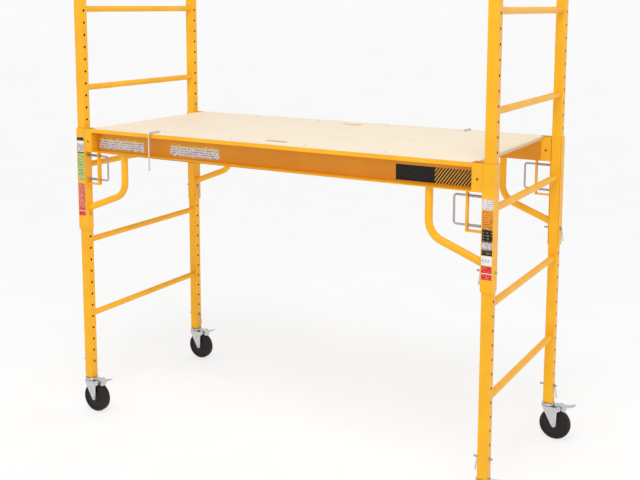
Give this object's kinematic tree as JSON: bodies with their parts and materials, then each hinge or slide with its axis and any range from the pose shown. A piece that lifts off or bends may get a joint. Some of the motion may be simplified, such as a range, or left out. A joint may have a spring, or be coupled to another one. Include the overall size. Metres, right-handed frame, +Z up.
{
  "type": "rolling scaffold",
  "caption": "Rolling work scaffold with ladder end frames of perforated square tube, a height-adjustable plywood platform and braked swivel casters.",
  "frame": {"origin": "on the floor, under the middle of the whole object's box; the middle of the four posts is at x = -0.034", "axes": "+X along the platform towards the end that the casters trail to, +Y towards the rear side, +Z up"},
  "size_m": [1.974, 0.823, 1.92],
  "materials": {
    "yellow_frame": "semi-gloss yellow powder coat",
    "zinc_hardware": "bright zinc plate",
    "deck_plywood": "pale bare plywood",
    "wheel_tread": "satin dark tread and hub"
  },
  "bodies": {
    "frame": {"post_front_left": "yellow_frame", "post_front_right": "yellow_frame", "post_rear_left": "yellow_frame", "post_rear_right": "yellow_frame", "rung_left_1": "yellow_frame", "rung_left_2": "yellow_frame", "rung_left_3": "yellow_frame", "rung_left_4": "yellow_frame", "rung_left_5": "yellow_frame", "rung_right_1": "yellow_frame", "rung_right_2": "yellow_frame", "rung_right_3": "yellow_frame", "rung_right_4": "yellow_frame", "rung_right_5": "yellow_frame", "caster_stem_front_left": "zinc_hardware", "caster_stem_front_right": "zinc_hardware", "caster_stem_rear_left": "zinc_hardware", "caster_stem_rear_right": "zinc_hardware"},
    "platform": {"side_channel_front": "yellow_frame", "side_channel_rear": "yellow_frame", "post_sleeve_front_left": "yellow_frame", "post_sleeve_front_right": "yellow_frame", "post_sleeve_rear_left": "yellow_frame", "post_sleeve_rear_right": "yellow_frame", "brace_front_left": "yellow_frame", "brace_front_right": "yellow_frame", "brace_rear_left": "yellow_frame", "brace_rear_right": "yellow_frame"},
    "deck": {"deck_panel": "deck_plywood", "deck_cross_member_1": "yellow_frame", "deck_cross_member_2": "yellow_frame", "deck_cross_member_3": "yellow_frame", "deck_cross_member_4": "yellow_frame"},
    "deck_latch_front": {"deck_latch_front": "zinc_hardware"},
    "deck_latch_rear": {"deck_latch_rear": "zinc_hardware"},
    "spring_pin_front_left": {"spring_pin_front_left": "zinc_hardware"},
    "bracket_pin_front_left": {"bracket_pin_front_left": "zinc_hardware"},
    "caster_pin_front_left": {"caster_pin_front_left": "zinc_hardware"},
    "caster_fork_front_left": {"caster_fork_front_left": "zinc_hardware"},
    "caster_wheel_front_left": {"caster_wheel_front_left": "wheel_tread"},
    "brake_pedal_front_left": {"brake_pedal_front_left": "zinc_hardware"},
    "spring_pin_front_right": {"spring_pin_front_right": "zinc_hardware"},
    "bracket_pin_front_right": {"bracket_pin_front_right": "zinc_hardware"},
    "caster_pin_front_right": {"caster_pin_front_right": "zinc_hardware"},
    "caster_fork_front_right": {"caster_fork_front_right": "zinc_hardware"},
    "caster_wheel_front_right": {"caster_wheel_front_right": "wheel_tread"},
    "brake_pedal_front_right": {"brake_pedal_front_right": "zinc_hardware"},
    "spring_pin_rear_left": {"spring_pin_rear_left": "zinc_hardware"},
    "bracket_pin_rear_left": {"bracket_pin_rear_left": "zinc_hardware"},
    "caster_pin_rear_left": {"caster_pin_rear_left": "zinc_hardware"},
    "caster_fork_rear_left": {"caster_fork_rear_left": "zinc_hardware"},
    "caster_wheel_rear_left": {"caster_wheel_rear_left": "wheel_tread"},
    "brake_pedal_rear_left": {"brake_pedal_rear_left": "zinc_hardware"},
    "spring_pin_rear_right": {"spring_pin_rear_right": "zinc_hardware"},
    "bracket_pin_rear_right": {"bracket_pin_rear_right": "zinc_hardware"},
    "caster_pin_rear_right": {"caster_pin_rear_right": "zinc_hardware"},
    "caster_fork_rear_right": {"caster_fork_rear_right": "zinc_hardware"},
    "caster_wheel_rear_right": {"caster_wheel_rear_right": "wheel_tread"},
    "brake_pedal_rear_right": {"brake_pedal_rear_right": "zinc_hardware"}
  },
  "joints": [
    {"name": "platform_height", "type": "slide", "parent": "frame", "child": "platform", "axis": [0, 0, 1], "range_m": [-0.5588, 0.6604]},
    {"name": "deck_lift", "type": "slide", "parent": "platform", "child": "deck", "axis": [0, 0, 1], "range_m": [0, 0.25]},
    {"name": "deck_latch_front_lift", "type": "slide", "parent": "deck", "child": "deck_latch_front", "axis": [0, 0, 1], "range_m": [0, 0.16]},
    {"name": "deck_latch_rear_lift", "type": "slide", "parent": "deck", "child": "deck_latch_rear", "axis": [0, 0, 1], "range_m": [0, 0.16]},
    {"name": "spring_pin_front_left_pull", "type": "slide", "parent": "platform", "child": "spring_pin_front_left", "axis": [1, 0, 0], "range_m": [0, 0.0385], "stiffness_N_per_m": 400, "springref_m": -0.03},
    {"name": "bracket_pin_front_left_pull", "type": "slide", "parent": "platform", "child": "bracket_pin_front_left", "axis": [-1, 0, 0], "range_m": [0, 0.08]},
    {"name": "caster_pin_front_left_pull", "type": "slide", "parent": "frame", "child": "caster_pin_front_left", "axis": [-1, 0, 0], "range_m": [0, 0.08]},
    {"name": "caster_front_left_swivel", "type": "hinge", "parent": "frame", "child": "caster_fork_front_left", "pos_m": [-0.944, -0.375, 0.1388], "axis": [0, 0, 1], "continuous": true},
    {"name": "caster_front_left_roll", "type": "hinge", "parent": "caster_fork_front_left", "child": "caster_wheel_front_left", "pos_m": [-0.914, -0.375, 0.0635], "axis": [0, 1, 0], "continuous": true},
    {"name": "brake_pedal_front_left_press", "type": "hinge", "parent": "caster_fork_front_left", "child": "brake_pedal_front_left", "pos_m": [-0.894, -0.375, 0.1375], "axis": [0, 1, 0], "range_deg": [0, 15]},
    {"name": "spring_pin_front_right_pull", "type": "slide", "parent": "platform", "child": "spring_pin_front_right", "axis": [-1, 0, 0], "range_m": [0, 0.0385], "stiffness_N_per_m": 400, "springref_m": -0.03},
    {"name": "bracket_pin_front_right_pull", "type": "slide", "parent": "platform", "child": "bracket_pin_front_right", "axis": [-1, 0, 0], "range_m": [0, 0.08]},
    {"name": "caster_pin_front_right_pull", "type": "slide", "parent": "frame", "child": "caster_pin_front_right", "axis": [-1, 0, 0], "range_m": [0, 0.08]},
    {"name": "caster_front_right_swivel", "type": "hinge", "parent": "frame", "child": "caster_fork_front_right", "pos_m": [0.876, -0.375, 0.1388], "axis": [0, 0, 1], "continuous": true},
    {"name": "caster_front_right_roll", "type": "hinge", "parent": "caster_fork_front_right", "child": "caster_wheel_front_right", "pos_m": [0.906, -0.375, 0.0635], "axis": [0, 1, 0], "continuous": true},
    {"name": "brake_pedal_front_right_press", "type": "hinge", "parent": "caster_fork_front_right", "child": "brake_pedal_front_right", "pos_m": [0.926, -0.375, 0.1375], "axis": [0, 1, 0], "range_deg": [0, 15]},
    {"name": "spring_pin_rear_left_pull", "type": "slide", "parent": "platform", "child": "spring_pin_rear_left", "axis": [1, 0, 0], "range_m": [0, 0.0385], "stiffness_N_per_m": 400, "springref_m": -0.03},
    {"name": "bracket_pin_rear_left_pull", "type": "slide", "parent": "platform", "child": "bracket_pin_rear_left", "axis": [1, 0, 0], "range_m": [0, 0.08]},
    {"name": "caster_pin_rear_left_pull", "type": "slide", "parent": "frame", "child": "caster_pin_rear_left", "axis": [1, 0, 0], "range_m": [0, 0.08]},
    {"name": "caster_rear_left_swivel", "type": "hinge", "parent": "frame", "child": "caster_fork_rear_left", "pos_m": [-0.944, 0.375, 0.1388], "axis": [0, 0, 1], "continuous": true},
    {"name": "caster_rear_left_roll", "type": "hinge", "parent": "caster_fork_rear_left", "child": "caster_wheel_rear_left", "pos_m": [-0.914, 0.375, 0.0635], "axis": [0, 1, 0], "continuous": true},
    {"name": "brake_pedal_rear_left_press", "type": "hinge", "parent": "caster_fork_rear_left", "child": "brake_pedal_rear_left", "pos_m": [-0.894, 0.375, 0.1375], "axis": [0, 1, 0], "range_deg": [0, 15]},
    {"name": "spring_pin_rear_right_pull", "type": "slide", "parent": "platform", "child": "spring_pin_rear_right", "axis": [-1, 0, 0], "range_m": [0, 0.0385], "stiffness_N_per_m": 400, "springref_m": -0.03},
    {"name": "bracket_pin_rear_right_pull", "type": "slide", "parent": "platform", "child": "bracket_pin_rear_right", "axis": [1, 0, 0], "range_m": [0, 0.08]},
    {"name": "caster_pin_rear_right_pull", "type": "slide", "parent": "frame", "child": "caster_pin_rear_right", "axis": [1, 0, 0], "range_m": [0, 0.08]},
    {"name": "caster_rear_right_swivel", "type": "hinge", "parent": "frame", "child": "caster_fork_rear_right", "pos_m": [0.876, 0.375, 0.1388], "axis": [0, 0, 1], "continuous": true},
    {"name": "caster_rear_right_roll", "type": "hinge", "parent": "caster_fork_rear_right", "child": "caster_wheel_rear_right", "pos_m": [0.906, 0.375, 0.0635], "axis": [0, 1, 0], "continuous": true},
    {"name": "brake_pedal_rear_right_press", "type": "hinge", "parent": "caster_fork_rear_right", "child": "brake_pedal_rear_right", "pos_m": [0.926, 0.375, 0.1375], "axis": [0, 1, 0], "range_deg": [0, 15]}
  ]
}
